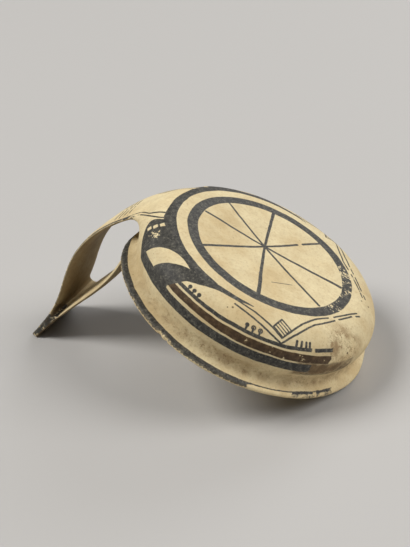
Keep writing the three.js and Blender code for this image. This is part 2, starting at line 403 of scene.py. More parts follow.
# The V of double lines, its hatched square, the drops and the bars. Each drop is its
# bearing, how far out its head lies, and whether the head is a ring.
FINE_HALF_WIDTH = 0.46
V_LINES = [
    [(0.2, -52.0), (9.3, -52.2), (19.5, -53.7), (24.8, -54.7)],
    [(-0.4, -54.5), (9.1, -55.3), (19.3, -56.5), (26.0, -57.0)],
    [(25.8, -51.4), (29.3, -41.4), (34.0, -31.8), (38.5, -26.0)],
    [(40.8, -23.0), (45.2, -16.3), (50.4, -8.5)],
    [(26.0, -57.0), (29.9, -47.2), (34.4, -36.7), (41.8, -25.1)],
    [(43.4, -22.4), (48.6, -13.8)],
    [(50.6, -11.2), (52.3, -8.8)],
]
SQUARE_CORNERS = ((18.9, -53.0, 0), (20.4, -46.9, 0), (25.1, -54.3, 0), (26.7, -49.1, 0))
SQUARE_EDGE_HALF = 0.42
HATCHING_HALF = 0.30
HATCHED_STRIPS = 4
DROPS = (
    (-110.1, 61.3, False),
    (-107.5, 61.3, False),
    (-104.8, 61.3, False),
    (-81.4, 60.5, False),
    (-78.4, 60.5, True),
    (-75.3, 60.5, True),
)
DROP_HEAD = 1.0
DROP_RING = (0.85, 0.35)
DROP_STEM_HALF = 0.5
DROP_FOOT = 63.2
BAR_BEARINGS = (-58.5, -56.2, -54.0, -52.2)
BAR_REACH = (59.8, 63.0)
BAR_HALF = 0.62

# The bands. An end is a bearing and how ragged the end is.
BANDS_START = -118.0
DROP_LINE = (63.35, 62.75)
DROP_LINE_BEND = (-66.0, -44.0)
DROP_LINE_HALF = 0.85
DROP_LINE_GAP = (-50.9, -49.4)
DROP_LINE_END = (-39.5, 2.0)
WIDE_BAND = (69.9, 74.8)
WIDE_BAND_START = -140.0
WIDE_BAND_END = (-50.0, 6.0)
BROWN_BAND = (65.15, 68.3)
BROWN_BEND = (-104.0, -82.0)
BROWN_WIDENING = 0.8
BROWN_END = (-41.0, 5.0)

# The rim's band: its upper edge, the lower edge that wear has raised, where it ends, and
# what is left of it past the worn place
RIM_BAND = (87.7, 88.2)
RIM_BEND = (-118.0, -84.0)
RIM_WORN_EDGE = (92.0, 88.6)
RIM_WORN_BEND = (-79.0, -67.0)
RIM_END = (-31.0, 4.0)
RIM_REMNANT = (88.05, 89.45)
RIM_REMNANT_BEARINGS = ((-51.8, -41.0), (-39.8, -31.5))
RIM_THREAD = (88.1, 88.7)
RIM_THREAD_BEARINGS = (-70.0, -50.0)
INSIDE_BAND = 83.5

# The outer strap's paint, in millimetres out from the strap's middle and along it from
# its root. Each edge line is its distance, how far it draws in at the waist, and how
# much of the root's widening it takes.
EDGE_LINES = ((17.5, -3.7, 0.1), (18.7, -2.5, 1.0))
EDGE_LINE_HALF = 0.50
EDGE_LINES_END = 99.0
STRAP_WAIST = (13.5, 5.0)
STRAP_ROOT = (-2.0, 11.0)
STRAP_ROOT_WIDENING = 3.4
CROSS_STROKES = (24.8, 27.4, 30.2, 33.0, 80.0, 84.0, 88.0)
CROSS_STROKE_HALF = 0.42
CROSS_STROKE_REACH = 15.0
CROSS_STROKE_SLANT = -0.20
STRAP_SKIN = (-6.0, 5.5)
TONGUE_START = 98.0
TONGUE_INNER_START = 107.5
TONGUE_INNER_SLANT = 0.35

# Where the paint is worn, the clay is stained, the neck below the bulge holds the worn band with painted
# shadow, and the surface is pitted
RING_WEAR = ((44.0, -8.0, 0), 24.0)
RING_WEAR_END = (45.5, 48.0)
PANEL_WEAR = ((-51.5, -33.5, 0), 9.5)
FAR_ARM_WEAR = ((47.0, 19.0, 0), 20.0)
TONGUE_WEAR = ((-20.5, 103.0, 0), 4.8)
BAND_WEAR = (-92.0, -48.0)
BAND_WEAR_PEAK = (-54.0, 5.0)
LEAST_WEAR = 0.24
BROWN_LEAST_WEAR = 0.40
STAIN = ((54.0, -34.0, 0), 17.0)
NECK_GRIME = (77.0, 87.0)
NECK_GRIME_BEND = (-135.0, -100.0)
# Below the bulge on the near side: the wide band's worn remains and the bulge's painted shadow
SMUDGE_AND_SHADE = (70.0, 76.5)
SMUDGE_AND_SHADE_BEARINGS = (-54.0, -26.0)
LEAST_GRIME = 0.20
PITS = (
    ((65.3, -30.3), 0.55),
    ((55.6, 5.4), 0.50),
    ((50.8, 5.5), 0.40),
    ((56.6, -90.3), 0.45),
    ((57.9, -92.2), 0.30),
)

# Added to a distance where its paint doesn't belong
OFF = 30.0


def stroke(s, chart, start, end, half, half_end=None):
    values = {"Chart": chart, "From": start, "To": end, "Start": half, "End": half_end or half}
    return s.group(STROKE, **values)["Distance"]


def strokes_along(s, chart, points):
    """A stroke from each point to the next; a point can hold the half width there"""
    strokes = []
    for (x0, y0, *start), (x1, y1, *end) in zip(points, points[1:]):
        widths = (*start, *end) or (FINE_HALF_WIDTH,)
        strokes.append(stroke(s, chart, (x0, y0, 0), (x1, y1, 0), *widths))
    return strokes


def disc(s, chart, centre, radius):
    return s.group(DISC, Chart=chart, Centre=centre, Radius=radius)["Distance"]


def band(s, value, low, high):
    return s.group(BAND, Value=value, Low=low, High=high)["Distance"]


def make_wheel_group():
    """The ring on the foot and the spokes inside it"""
    tree, s, given, out = new_group("wheel", {"Chart": "vector", "Along": "value"}, {"Distance": "value"})
    parts = [band(s, given["Along"], *RING), stroke(s, given["Chart"], *SCRATCH)]
    for place, half in SPOKES:
        parts.append(stroke(s, given["Chart"], HUB, chart_point(*place), SPOKE_HUB_HALF_WIDTH, half))
    hub, end = Vector(HUB), Vector(chart_point(*BROKEN_SPOKE))
    first, second = (hub.lerp(end, share) for share in SPOKE_BREAK)
    parts.append(stroke(s, given["Chart"], HUB, first, SPOKE_HUB_HALF_WIDTH, BROKEN_HALF_WIDTH))
    parts.append(stroke(s, given["Chart"], second, end, BROKEN_HALF_WIDTH))
    s.feed(out.inputs["Distance"], s.least(*parts))
    return tree


def make_shoulder_group():
    """The large black shapes beside the handle: a crescent round the foot, a panel, a leaf
    left bare, and a sweep that narrows to a point. The chart is folded, so that the far
    side mirrors the near side."""
    tree, s, given, out = new_group(
        "shoulder",
        {"Chart": "vector", "Along": "value", "Bearing": "value"},
        {"Distance": "value", "Crescent": "value"},
    )
    chart, along, bearing = given["Chart"], given["Along"], given["Bearing"]
    widening = s.hump(bearing, *CRESCENT_WIDEST)
    outer_edge = s.math("MULTIPLY_ADD", widening, CRESCENT_WIDENING, CRESCENT[1])
    past_end = s.math("MULTIPLY", s.math("SUBTRACT", CRESCENT_END, bearing), -0.9)
    s.feed(out.inputs["Crescent"], s.most(band(s, along, CRESCENT[0], outer_edge), past_end))

    across = s.add("ShaderNodeSeparateXYZ", {"Vector": chart}).outputs["Y"]
    below_top = s.math("SUBTRACT", across, PANEL_TOP)
    corner = s.math("SMOOTH_MAX", below_top, disc(s, chart, *PANEL_SIDE), PANEL_CORNER)
    hollow = s.opposite(disc(s, chart, *PANEL_HOLLOW))
    facing = Vector(PANEL_END_FACING)
    end_reach = Vector(chart_point(*PANEL_END)).dot(facing)
    past_end = s.math("SUBTRACT", s.vector("DOT_PRODUCT", chart, facing), end_reach)
    beside_band = s.most(
        s.math("SUBTRACT", WIDE_BAND[0] - 0.4, along), s.math("SUBTRACT", bearing, BANDS_START)
    )
    past_end = s.least(past_end, beside_band)
    area = s.most(band(s, along, CRESCENT[0], WIDE_BAND[1]), corner, hollow, past_end)

    leaf_side = s.math("SUBTRACT", along, LEAF_REACH)
    leaf = s.most(disc(s, chart, *LEAF_TOP), s.opposite(disc(s, chart, *LEAF_FOOT)), leaf_side)
    area = s.most(area, s.opposite(leaf))
    for place, half in PALE_TILES:
        tile = s.group(TILE, Chart=chart, Centre=chart_point(*place), Axis=TILE_AXIS, Half=half)
        area = s.most(area, s.opposite(tile["Distance"]))
    s.feed(out.inputs["Distance"], s.least(area, *strokes_along(s, chart, SWEEP_TAIL)))
    return tree


def make_garland_group():
    """The double-line V, its hatched square, the drops and the bars, on the folded chart"""
    tree, s, given, out = new_group("garland", {"Chart": "vector"}, {"Distance": "value"})
    chart = given["Chart"]
    parts = []
    for points in V_LINES:
        parts += strokes_along(s, chart, points)

    left, top, low, right = (Vector(corner) for corner in SQUARE_CORNERS)
    for i in range(HATCHED_STRIPS + 1):
        share = i / HATCHED_STRIPS
        half = SQUARE_EDGE_HALF if i in (0, HATCHED_STRIPS) else HATCHING_HALF
        parts.append(stroke(s, chart, left.lerp(top, share), low.lerp(right, share), half))
    for start, end in ((left, top), (low, right)):
        parts.append(stroke(s, chart, start, end, SQUARE_EDGE_HALF))

    for bearing, reach, is_ring in DROPS:
        head = chart_point(reach, bearing)
        ring = s.line(disc(s, chart, head, DROP_RING[0]), DROP_RING[1])
        parts.append(ring if is_ring else disc(s, chart, head, DROP_HEAD))
        parts.append(stroke(s, chart, head, chart_point(DROP_FOOT, bearing), DROP_STEM_HALF))
    for bearing in BAR_BEARINGS:
        start, end = (chart_point(reach, bearing) for reach in BAR_REACH)
        parts.append(stroke(s, chart, start, end, BAR_HALF))
    s.feed(out.inputs["Distance"], s.least(*parts))
    return tree


def make_bands_group():
    """The drop line, the wide black band and the rim's band, with their worn ends, and the
    brown band between them"""
    tree, s, given, out = new_group(
        "bands",
        {"Along": "value", "Bearing": "value", "Rough": "value"},
        {"Black": "value", "Brown": "value"},
    )
    along, bearing, rough = given["Along"], given["Bearing"], given["Rough"]

    def ragged(distance, raggedness):
        return s.math("MULTIPLY_ADD", rough, raggedness, distance)

    def ended(last, raggedness):
        past = s.math("SUBTRACT", bearing, last)
        return ragged(s.math("MULTIPLY", past, 0.35), raggedness)

    begun = s.product(s.math("SUBTRACT", BANDS_START, bearing), 1.1)
    line_place = s.ramp(bearing, *DROP_LINE_BEND, *DROP_LINE)
    line = s.line(s.math("SUBTRACT", along, line_place), DROP_LINE_HALF)
    worn_gap = ragged(band(s, bearing, *DROP_LINE_GAP), -2.5)
    line = s.most(line, begun, ended(*DROP_LINE_END), s.math("MULTIPLY", worn_gap, -0.6))
    before_start = s.math("SUBTRACT", WIDE_BAND_START, bearing)
    wide = s.most(band(s, along, *WIDE_BAND), before_start, ended(*WIDE_BAND_END))
    brown_low, brown_high = BROWN_BAND
    brown_edge = s.ramp(bearing, *BROWN_BEND, brown_high, brown_high + BROWN_WIDENING)
    brown = s.most(band(s, along, brown_low, brown_edge), begun, ended(*BROWN_END))

    rim = s.math("SUBTRACT", s.ramp(bearing, *RIM_BEND, *RIM_BAND), along)
    worn_edge = ragged(s.ramp(bearing, *RIM_WORN_BEND, *RIM_WORN_EDGE), 1.2)
    rim = s.most(rim, s.math("SUBTRACT", along, worn_edge), ended(*RIM_END))
    remnant = s.least(*[band(s, bearing, *ends) for ends in RIM_REMNANT_BEARINGS])
    remnant = s.most(ragged(band(s, along, *RIM_REMNANT), 1.2), ragged(remnant, 4.0))
    thread = s.most(band(s, along, *RIM_THREAD), band(s, bearing, *RIM_THREAD_BEARINGS))
    s.feed(out.inputs["Black"], s.least(line, wide, rim, remnant, thread))
    s.feed(out.inputs["Brown"], brown)
    return tree


def make_strap_group():
    """Edge lines and cross strokes on the outer strap, and the black tongue"""
    tree, s, given, out = new_group(
        "strap paint",
        {"Chart": "vector", "Facing": "value", "Rough": "value"},
        {"Marks": "value", "Tongue": "value"},
    )
    place = s.add("ShaderNodeSeparateXYZ", {"Vector": given["Chart"]}).outputs
    across, along, off = place["X"], place["Y"], place["Z"]
    side = s.math("ABSOLUTE", across)
    waist = s.hump(along, *STRAP_WAIST)
    root = s.ramp(along, *STRAP_ROOT, STRAP_ROOT_WIDENING, 0.0)
    lines = []
    for distance, waist_depth, flare in EDGE_LINES:
        middle = s.math("MULTIPLY_ADD", waist, waist_depth, distance)
        middle = s.math("MULTIPLY_ADD", root, flare, middle)
        lines.append(s.line(s.math("SUBTRACT", side, middle), EDGE_LINE_HALF))
    edge_lines = s.most(s.least(*lines), s.math("SUBTRACT", along, EDGE_LINES_END))
    slanted = s.math("MULTIPLY_ADD", across, CROSS_STROKE_SLANT, along)
    crossing = []
    for middle in CROSS_STROKES:
        crossing.append(s.line(s.math("SUBTRACT", slanted, middle), CROSS_STROKE_HALF))
    crossing = s.most(s.least(*crossing), s.math("SUBTRACT", side, CROSS_STROKE_REACH))
    not_outward = s.math("MULTIPLY_ADD", given["Facing"], -4.0, 0.8)
    marks = s.most(s.least(edge_lines, crossing), not_outward, band(s, off, *STRAP_SKIN))
    inner_start = s.math("MULTIPLY_ADD", across, TONGUE_INNER_SLANT, TONGUE_INNER_START)
    start = s.mixed_value(s.ramp(off, 0.0, 1.4), TONGUE_START, inner_start)
    tongue = s.math("MULTIPLY_ADD", given["Rough"], 3.0, s.math("SUBTRACT", start, along))
    s.feed(out.inputs["Marks"], marks)
    s.feed(out.inputs["Tongue"], tongue)
    return tree


def make_clay_group():
    """Fired buff clay: its colour, and the height of its grain and pores"""
    tree, s, given, out = new_group(
        "buff clay",
        {"Place": "vector", "Grime": "value"},
        {"Colour": "colour", "Height": "value", "Mottle": "value"},
    )
    place, grime_and_shade = given["Place"], given["Grime"]
    cloud = s.noise(place, 34, 4, 0.6)
    fine = s.noise(place, 700, 3, 0.75)
    blotch = s.noise(place, 120, 4, 0.65)
    specks = s.noise(place, 330, 4, 0.7)
    grains = s.noise(place, 760, 3, 0.75)
    colour = s.mixed(s.ramp(cloud, 0.38, 0.68), PALE_CLAY, WARM_CLAY)
    colour = s.mixed(s.product(s.ramp(fine, 0.46, 0.68), 0.42), colour, GRAINY_CLAY)
    # The dirt input also carries painted shade, in the handle, the creases and under the bulge
    stain_and_shade = s.product(s.ramp(blotch, 0.38, 0.66), grime_and_shade, 0.70)
    stain_and_shade = s.math("ADD", stain_and_shade, s.product(s.ramp(specks, 0.54, 0.70), grime_and_shade, 0.6))
    stain_and_shade = s.math("ADD", stain_and_shade, s.product(s.ramp(grains, 0.56, 0.68), grime_and_shade, 0.8))
    colour = s.mixed(s.least(stain_and_shade, 0.9), colour, DUST_AND_SHADE_CLAY)
    pores = s.add("ShaderNodeTexVoronoi", {"Vector": place, "Scale": 420.0}, feature="F1")
    pore = s.ramp(pores.outputs["Distance"], 0.05, 0.20, 1.0, 0.0)
    pore = s.product(pore, s.ramp(s.noise(place, 210, 1), 0.58, 0.66))
    colour = s.mixed(s.product(pore, 0.6), colour, DUST_AND_SHADE_CLAY)
    height = s.math("SUBTRACT", s.product(fine, 0.25), pore)
    s.feed(out.inputs["Colour"], colour)
    s.feed(out.inputs["Height"], s.math("MULTIPLY_ADD", blotch, 0.35, height))
    s.feed(out.inputs["Mottle"], blotch)
    return tree


def make_coverage_group():
    """Turns a distance into a mask of paint with a slightly uneven edge, taken off by wear"""
    tree, s, given, out = new_group(
        "paint coverage",
        {"Distance": "value", "Place": "vector", "Wear": "value", "Edge": "value"},
        {"Mask": "value"},
    )
    place, worn_edge = given["Place"], given["Edge"]
    uneven = s.math("MULTIPLY_ADD", s.noise(place, 700, 2, 0.6), 0.4, -0.20)
    mask = s.ramp(s.math("ADD", given["Distance"], uneven), -0.16, 0.16, 1.0, 0.0)
    flecks = s.mixed_value(0.62, s.noise(place, 900, 2, 0.7), s.noise(place, 210, 3, 0.65))
    limit = s.math("MULTIPLY_ADD", given["Wear"], -0.30, 0.78)
    flaked = s.ramp(s.math("SUBTRACT", flecks, limit), -0.015, 0.035, 1.0, 0.0)
    rubbed = s.math("MULTIPLY_ADD", s.noise(place, 430, 4, 0.7), 0.7, worn_edge)
    thinned = s.ramp(worn_edge, 0.6, 1.0, 1.0, 0.82)
    mask = s.product(mask, s.ramp(rubbed, 1.31, 1.45, 1.0, 0.0), thinned, flaked)
    s.feed(out.inputs["Mask"], mask)
    return tree


WHEEL = make_wheel_group()
SHOULDER = make_shoulder_group()
GARLAND = make_garland_group()
BANDS = make_bands_group()
STRAP_PAINT = make_strap_group()
CLAY = make_clay_group()
COVERAGE = make_coverage_group()


def attribute(s, name, output):
    return s.add("ShaderNodeAttribute", attribute_name=name).outputs[output]


def find_wear(s, flat, strap_chart, along, bearing, near_side, handle, rough):
    """How far the paint is worn, on the whole cup and on its bands"""
    ring_wear = s.ramp(disc(s, flat, *RING_WEAR), -14.0, 2.0, 0.66, 0.0)
    ring_wear = s.product(ring_wear, s.ramp(along, *RING_WEAR_END, 1.0, 0.0))
    panel_wear = s.ramp(disc(s, flat, *PANEL_WEAR), -6.0, 1.0, 0.76, 0.0)
    far_arm = s.ramp(disc(s, flat, *FAR_ARM_WEAR), -6.0, 0.0, 0.85, 0.0)
    place = s.add("ShaderNodeSeparateXYZ", {"Vector": strap_chart}).outputs
    spot = s.add("ShaderNodeCombineXYZ", {"X": place["X"], "Y": place["Y"]}).outputs[0]
    rubbed_spot = s.math("ADD", disc(s, spot, *TONGUE_WEAR), s.product(rough, 8.0))
    tongue_wear = s.product(handle, s.ramp(rubbed_spot, -2.5, 0.5, 1.6, 0.74))
    band_wear = s.ramp(bearing, *BAND_WEAR, 0.0, 0.28)
    band_wear = s.math("MULTIPLY_ADD", s.hump(bearing, *BAND_WEAR_PEAK), 0.08, band_wear)
    wear = s.most(ring_wear, panel_wear, far_arm, tongue_wear, LEAST_WEAR)
    return wear, s.product(band_wear, near_side)


def find_grime_and_shade(s, flat, along, bearing, near_side, inside, loop_shade, hollow):
    """How dark the clay is made: dirt, with painted shade in the handle, in creases and under the bulge;
    and, apart, the share of the worn band and painted shadow below the bulge
    """
    stained = s.ramp(disc(s, flat, *STAIN), -STAIN[1], 4.0, 1.7, 0.0)
    neck = s.ramp(band(s, along, *NECK_GRIME), -3.0, 0.5, 0.75, 0.0)
    neck = s.product(neck, s.ramp(bearing, *NECK_GRIME_BEND, 0.35, 1.0))
    beside = s.product(band(s, bearing, *SMUDGE_AND_SHADE_BEARINGS), 0.5)
    smudge_and_shade = s.ramp(s.most(band(s, along, *SMUDGE_AND_SHADE), beside), -1.5, 1.8, 2.8, 0.0)
    smudge_and_shade = s.product(smudge_and_shade, near_side)
    # The inside of the bowl is made darker, and the handle's inner faces get painted shade
    inside_darkening_and_loop_shade = (s.product(inside, 0.35), s.product(loop_shade, 0.6))
    grime_and_shade = s.most(stained, neck, smudge_and_shade, *inside_darkening_and_loop_shade, LEAST_GRIME)
    # Painted shade in concave creases is added on top
    return s.math("ADD", grime_and_shade, s.ramp(hollow, 0.2, 0.9, 0.0, 0.5)), smudge_and_shade


def make_painted_clay():
    """Buff clay under black and brown paint, placed by the charts that the mesh carries"""
    material = bpy.data.materials.new("painted_clay")
    material.use_nodes = True
    tree = material.node_tree
    tree.nodes.clear()
    s = Sketch(tree)
    place = s.add("ShaderNodeTexCoord").outputs["Object"]
    rough = s.math("SUBTRACT", s.noise(place, 260, 3, 0.6), 0.5)
    waver = s.noise(place, 95, 2, 0.5, "Color")
    sway = s.scaled(s.vector("SUBTRACT", waver, (0.5, 0.5, 0.5)), 0.9)

    bowl = s.vector("ADD", attribute(s, "bowl_chart", "Vector"), sway)
    axes = s.add("ShaderNodeSeparateXYZ", {"Vector": bowl}).outputs
    flat = s.add("ShaderNodeCombineXYZ", {"X": axes["X"], "Y": axes["Y"]}).outputs[0]
    near_y = s.opposite(s.math("ABSOLUTE", axes["Y"]))
    folded = s.add("ShaderNodeCombineXYZ", {"X": axes["X"], "Y": near_y}).outputs[0]
    near_side = s.math("LESS_THAN", axes["Y"], 0.0)
    along = s.vector("LENGTH", flat)
    bearing = s.math("DEGREES", s.math("ARCTAN2", near_y, axes["X"]))
    strap_chart = attribute(s, "strap_chart", "Vector")
    facing = attribute(s, "strap_facing", "Fac")
    regions = s.add("ShaderNodeSeparateColor", {"Color": attribute(s, "regions", "Color")}).outputs
    handle, inside = regions["Red"], regions["Green"]
    edge = s.product(regions["Blue"], s.math("MULTIPLY_ADD", handle, -0.06, 1.0))
    hollow = attribute(s, "regions", "Alpha")

    wheel = s.group(WHEEL, Chart=flat, Along=along)["Distance"]
    shoulder = s.group(SHOULDER, Chart=folded, Along=along, Bearing=bearing)
    garland = s.group(GARLAND, Chart=folded)["Distance"]
    bands = s.group(BANDS, Along=along, Bearing=bearing, Rough=rough)
    strap = s.group(STRAP_PAINT, Chart=strap_chart, Facing=facing, Rough=rough)
    off_inside = s.product(inside, OFF)
    off_handle = s.product(handle, OFF)
    only_inside = s.product(s.math("SUBTRACT", 1.0, inside), OFF)
    only_handle = s.product(s.math("SUBTRACT", 1.0, handle), OFF)
    only_bowl = s.product(s.most(inside, handle), OFF)
    lip_band = s.math("SUBTRACT", INSIDE_BAND, along)
    black = s.least(
        s.math("ADD", wheel, off_inside),
        s.math("ADD", s.least(shoulder["Distance"], garland, bands["Black"]), only_bowl),
        s.math("ADD", shoulder["Crescent"], off_inside),
        s.math("ADD", lip_band, s.math("ADD", only_inside, off_handle)),
        strap["Marks"],
        s.math("ADD", strap["Tongue"], only_handle),
    )
    brown = s.math("ADD", bands["Brown"], only_bowl)

    wear, band_wear = find_wear(s, flat, strap_chart, along, bearing, near_side, handle, rough)
    black_wear = s.most(wear, band_wear)
    brown_wear = s.math("ADD", s.most(wear, BROWN_LEAST_WEAR), s.product(band_wear, 0.7))
    black_mask = s.group(COVERAGE, Distance=black, Place=place, Wear=black_wear, Edge=edge)["Mask"]
    brown_mask = s.group(COVERAGE, Distance=brown, Place=place, Wear=brown_wear, Edge=edge)["Mask"]

    # Painted shade on the handle's inner faces, those turned away from the strap's outside
    loop_shade = s.product(handle, s.ramp(facing, -0.4, 0.1, 1.0, 0.0))
    # Real dirt, with painted shade in the handle, the creases and under the bulge
    grime_and_shade, smudge_and_shade = find_grime_and_shade(s, flat, along, bearing, near_side, inside, loop_shade, hollow)
    clay = s.group(CLAY, Place=place, Grime=grime_and_shade)
    pits = [disc(s, flat, chart_point(*spot), size) for spot, size in PITS]
    pit = s.product(s.ramp(s.least(*pits), -0.25, 0.25, 1.0, 0.0), s.math("SUBTRACT", 1.0, inside))

    streak = s.ramp(s.noise(place, 420, 5, 0.7), 0.35, 0.70)
    dust = s.ramp(s.noise(place, 680, 4, 0.8), 0.50, 0.68, 0.0, 0.62)
    black_paint = s.mixed(dust, s.mixed(streak, *BLACK_PAINT), PALE_DUST)
    # The worn band and the bulge's painted shadow darken the neck below the bulge
    smudge_and_shade_share = s.product(s.least(smudge_and_shade, 1.0), s.ramp(rough, -0.2, 0.1, 0.35, 0.75))
    colour = clay["Colour"]
    for share, coat in (
        (smudge_and_shade_share, SMUDGE_AND_SHADE_CLAY),
        (brown_mask, s.mixed(streak, *BROWN_PAINT)),
        (black_mask, black_paint),
        # painted shade in the creases
        (s.product(hollow, 0.3), CREASE_SHADE_CLAY),
        (s.product(loop_shade, 0.72), LOOP_SHADE_CLAY),
        (s.product(pit, 0.85), PIT_CLAY),
    ):
        colour = s.mixed(share, colour, coat)

    paint = s.most(black_mask, brown_mask)
    roughness = s.math("MULTIPLY_ADD", clay["Mottle"], 0.16, 0.68)
    roughness = s.math("MULTIPLY_ADD", paint, -0.16, roughness)
    height = s.math("SUBTRACT", s.math("MULTIPLY_ADD", paint, 0.18, clay["Height"]), pit)
    bump = s.add("ShaderNodeBump", {"Strength": 0.55, "Distance": 0.00022, "Height": height})
    inputs = {"Base Color": colour, "Roughness": roughness, "Specular IOR Level": 0.32}
    inputs["Normal"] = bump.outputs[0]
    shader = s.add("ShaderNodeBsdfPrincipled", inputs)
    output = s.add("ShaderNodeOutputMaterial")
    tree.links.new(shader.outputs[0], output.inputs["Surface"])
    return material


def make_floor_material():
    material = bpy.data.materials.new("pale_floor")
    material.use_nodes = True
    shader = material.node_tree.nodes["Principled BSDF"]
    shader.inputs["Base Color"].default_value = FLOOR_COLOUR
    shader.inputs["Roughness"].default_value = 0.85
    return material


def add_stage():
    mesh = bpy.data.meshes.new("floor")
    corners = [(-FLOOR_HALF, -FLOOR_HALF, 0), (FLOOR_HALF, -FLOOR_HALF, 0)]
    corners += [(FLOOR_HALF, FLOOR_HALF, 0), (-FLOOR_HALF, FLOOR_HALF, 0)]
    mesh.from_pydata(corners, [], [(0, 1, 2, 3)])
    mesh.materials.append(make_floor_material())
    floor = bpy.data.objects.new("floor", mesh)
    bpy.context.scene.collection.objects.link(floor)
    world = bpy.data.worlds.new("studio")
    world.use_nodes = True
    sky = world.node_tree.nodes["Background"].inputs
    sky["Color"].default_value = WORLD_COLOUR
    sky["Strength"].default_value = WORLD_STRENGTH
    bpy.context.scene.world = world
    for name, settings in LAMPS.items():
        add_lamp(name, *settings)
    bpy.context.scene.view_settings.view_transform = "Standard"


def bezier(points, steps):
    t = np.linspace(0, 1, steps)[:, None]
    p = np.array(points, float)
    return (1 - t) ** 3 * p[0] + 3 * (1 - t) ** 2 * t * p[1] + 3 * (1 - t) * t * t * p[2] + t**3 * p[3]


def bowl_profile():
    """The outside of the bowl as (radius, height) from the foot's centre to the lip"""
    steps = 40
    low = BOWL_HEIGHT - DISH_DEPTH
    foot = BOWL_HEIGHT
    dish = bezier(
        [
            (0, low),
            (DISH_RADIUS * DISH_INNER_RUN, low),
            (DISH_RADIUS * DISH_OUTER_RUN, foot),
            (DISH_RADIUS, foot),
        ],
        steps,
    )
    turn = np.linspace(0, math.pi / 2, steps)
    shoulder_r = FOOT_RADIUS + (BULGE_RADIUS - FOOT_RADIUS) * np.sin(turn)
    shoulder_z = BULGE_HEIGHT + (BOWL_HEIGHT - BULGE_HEIGHT) * np.cos(turn)
    fall = BULGE_HEIGHT - NECK_HEIGHT
    wall = bezier(
        [
            (BULGE_RADIUS, BULGE_HEIGHT),
            (BULGE_RADIUS, BULGE_HEIGHT - fall * WALL_TOP_FALL),
            (NECK_RADIUS, NECK_HEIGHT + fall * WALL_FOOT_RISE),
            (NECK_RADIUS, NECK_HEIGHT),
        ],
        steps,
    )
    edge = LIP_THICKNESS / 2
    run = LIP_RADIUS - edge - NECK_RADIUS
    flare = bezier(
        [
            (NECK_RADIUS, NECK_HEIGHT),
            (NECK_RADIUS, edge + (NECK_HEIGHT - edge) * FLARE_TOP_RISE),
            (NECK_RADIUS + run * FLARE_FOOT_RUN, edge),
            (LIP_RADIUS - edge, edge),
        ],
        steps,
    )
    return np.vstack([dish, np.c_[shoulder_r, shoulder_z], wall[1:], flare[1:]])


def strap_profile():
    """The middle line of the outer strap as (x, z) from its root to the tip"""
    steps = 60
    reach = -(LIP_RADIUS + HANDLE_REACH)
    slope = math.radians(ROOT_SLOPE)
    start = ROOT_RADIUS * ROOT_RUN
    root = (-ROOT_RADIUS, ROOT_HEIGHT)
    widest = (reach, -WIDEST_DROP * HANDLE_RISE)
    tip = (reach - TONGUE_LEAN, -HANDLE_RISE)
    upper = bezier(
        [
            root,
            (root[0] - start * math.cos(slope), root[1] - start * math.sin(slope)),
            (reach, widest[1] + ABOVE_WIDEST * HANDLE_RISE),
            widest,
        ],
        steps,
    )
    lower = bezier(
        [
            widest,
            (reach, widest[1] - BELOW_WIDEST * HANDLE_RISE),
            (reach + TONGUE_LEAN * TONGUE_BEND_RUN, -TONGUE_BEND_DROP * HANDLE_RISE),
            tip,
        ],
        steps,
    )
    return np.vstack([upper, lower[1:]])


def place_on(line, points):
    """For each point, how far along the line its nearest place is, and how far off the
    line's left side the point lies"""
    starts, steps = line[:-1], np.diff(line, axis=0)
    lengths = np.hypot(steps[:, 0], steps[:, 1])
    walked = np.r_[0, np.cumsum(lengths)]
    along = np.zeros(len(points))
    off = np.zeros(len(points))
    block = 20000
    for first in range(0, len(points), block):
        part = slice(first, first + block)
        away = points[part][:, None] - starts[None]
        share = np.clip((away * steps).sum(2) / np.maximum(lengths**2, 1e-12), 0, 1)
        gap = away - share[..., None] * steps
        nearest = (gap**2).sum(2).argmin(1)
        rows = np.arange(len(nearest))
        gap = gap[rows, nearest]
        step = steps[nearest]
        along[part] = walked[nearest] + share[rows, nearest] * lengths[nearest]
        side = np.sign(step[:, 0] * gap[:, 1] - step[:, 1] * gap[:, 0])
        off[part] = side * np.hypot(gap[:, 0], gap[:, 1])
    return along, off


class CupFrame:
    """Turns world metres into the cup's own millimetres and back"""

    def __init__(self):
        foot = frame["record"]["mounts"][0]
        self.axis = np.array(foot["axis"])
        self.axis /= np.linalg.norm(self.axis)
        outward = np.array([self.axis[2], 0, -self.axis[0]])
        self.turn = np.array([outward, (0, 1, 0), self.axis])
        centre = np.array([foot["pos_m"][0], 0, foot["pos_m"][2]])
        self.mouth = centre - self.axis * BOWL_HEIGHT * MM

    def own(self, world):
        return (world - self.mouth) @ self.turn.T / MM

    def world(self, own):
        return own * MM @ self.turn + self.mouth


def fine_mesh():
    """A fine, even mesh of the whole cup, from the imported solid"""
    mesh = frame["nodes"]["cup_and_handle"].data.copy()
    loose = bmesh.new()
    loose.from_mesh(mesh)
    bmesh.ops.remove_doubles(loose, verts=loose.verts, dist=0.004 * MM)
    loose.to_mesh(mesh)
    loose.free()
    mesh.materials.clear()
    cup = bpy.data.objects.new("painted_kyathos", mesh)
    bpy.context.scene.collection.objects.link(cup)
    remesh = cup.modifiers.new("remesh", "REMESH")
    remesh.mode = "VOXEL"
    remesh.voxel_size = VOXEL * MM
    result = bpy.data.meshes.new_from_object(cup.evaluated_get(bpy.context.evaluated_depsgraph_get()))
    cup.modifiers.remove(remesh)
    cup.data = result
    result.name = "painted_kyathos"
    return cup


def read_vectors(mesh, field):
    """The place (co) or the normal of every vertex"""
    values = np.empty(len(mesh.vertices) * 3)
    mesh.vertices.foreach_get(field, values)
    return values.reshape(-1, 3)


def write_points(mesh, points):
    mesh.vertices.foreach_set("co", points.ravel())
    mesh.update()


